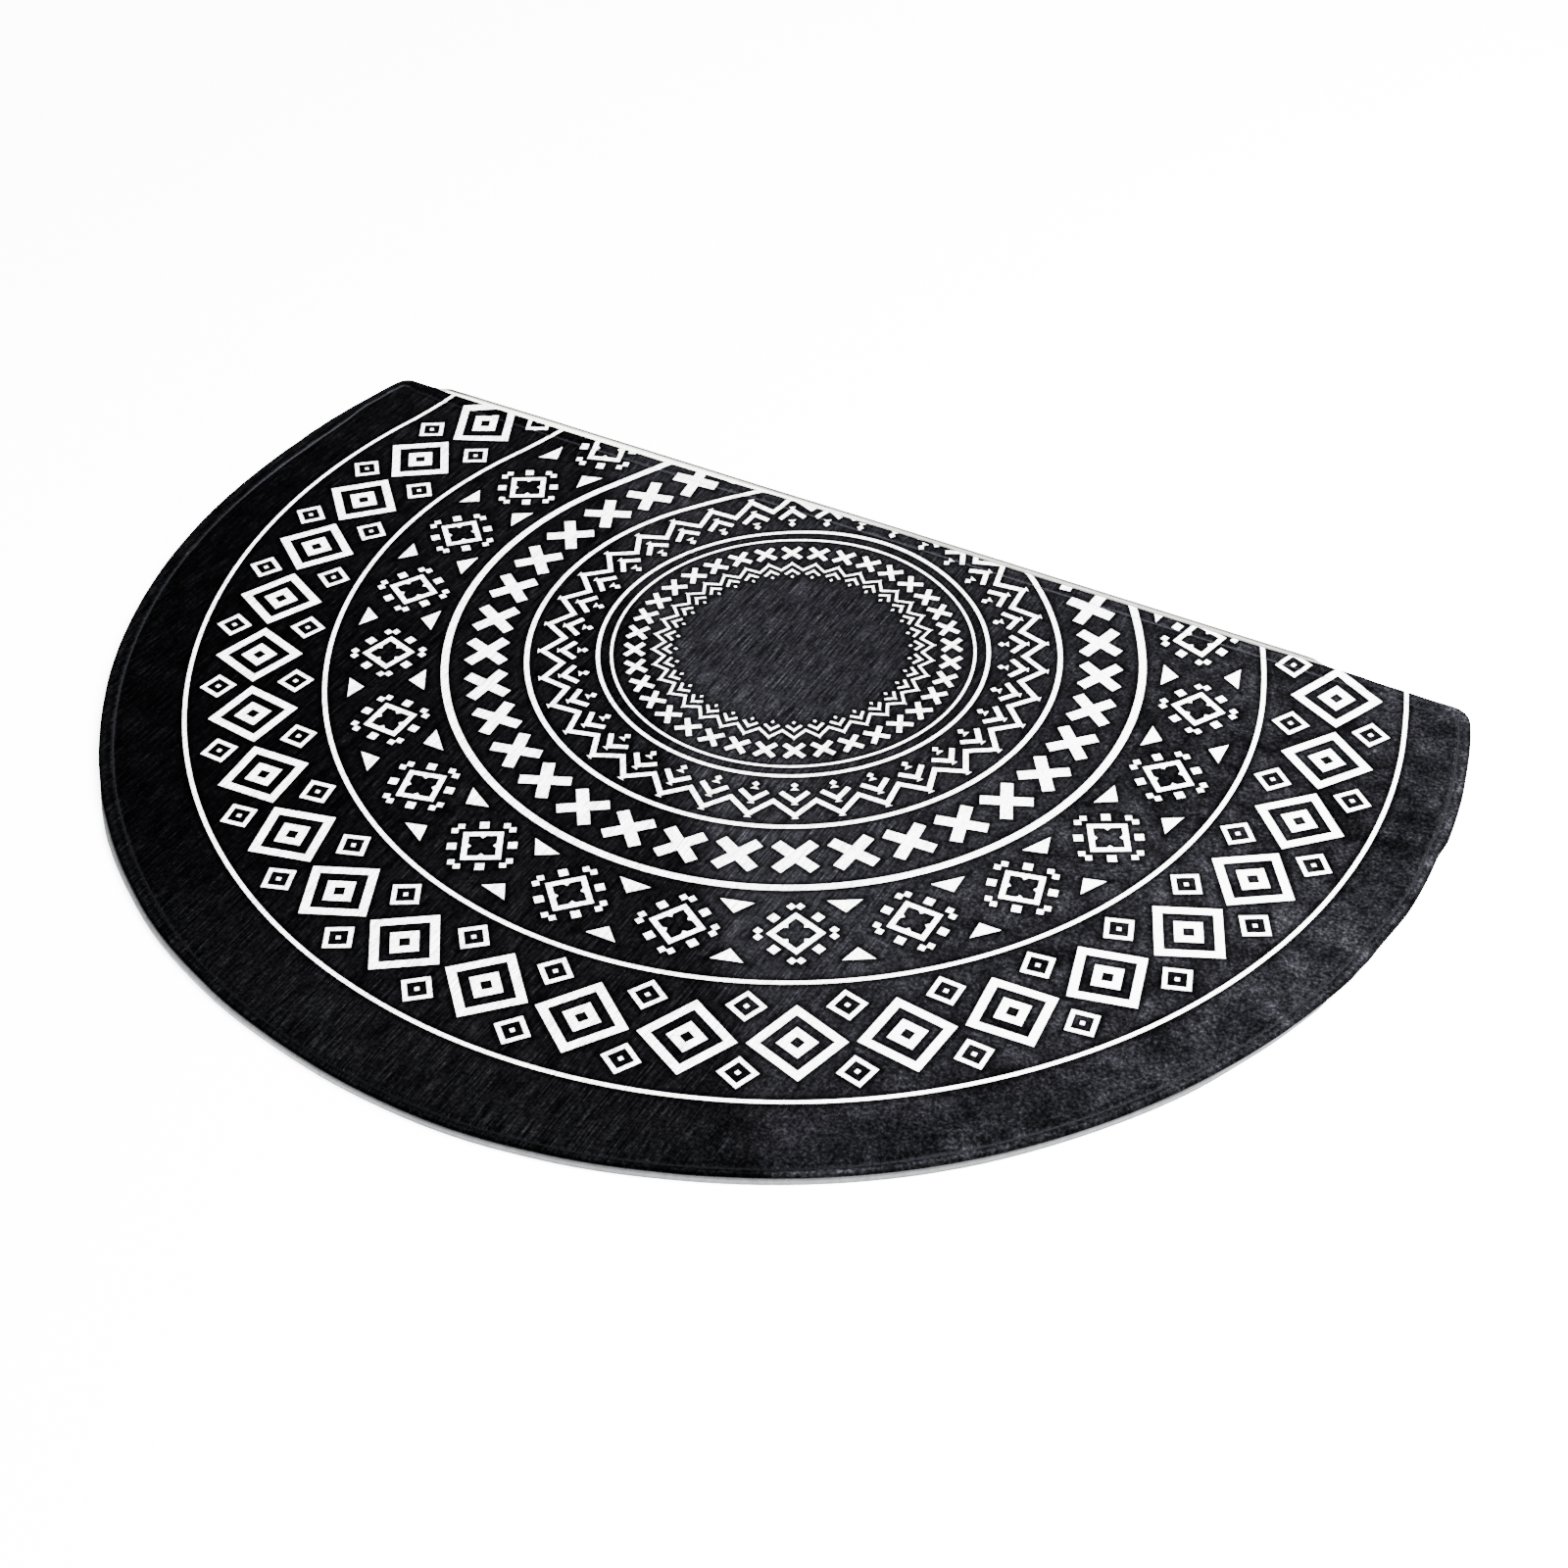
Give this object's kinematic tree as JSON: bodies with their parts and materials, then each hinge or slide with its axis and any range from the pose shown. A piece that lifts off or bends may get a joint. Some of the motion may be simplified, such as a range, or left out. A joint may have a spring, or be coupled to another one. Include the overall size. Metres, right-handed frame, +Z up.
{
  "type": "kitchen mat",
  "caption": "Half-round floor mat lying flat: a thin printed pile cloth sewn over a thin pale backing, straight along the back, with a stitched hem.",
  "frame": {"origin": "middle of the footprint's box, on the floor under the mat", "axes": "+X along the straight edge, +Y towards the straight edge, +Z up"},
  "size_m": [0.6004, 0.4144, 0.005],
  "materials": {
    "face_cloth": "short dull pile, printed",
    "backing": "matt felt"
  },
  "bodies": {
    "root": {"face_cloth": "face_cloth", "backing": "backing"}
  },
  "joints": []
}
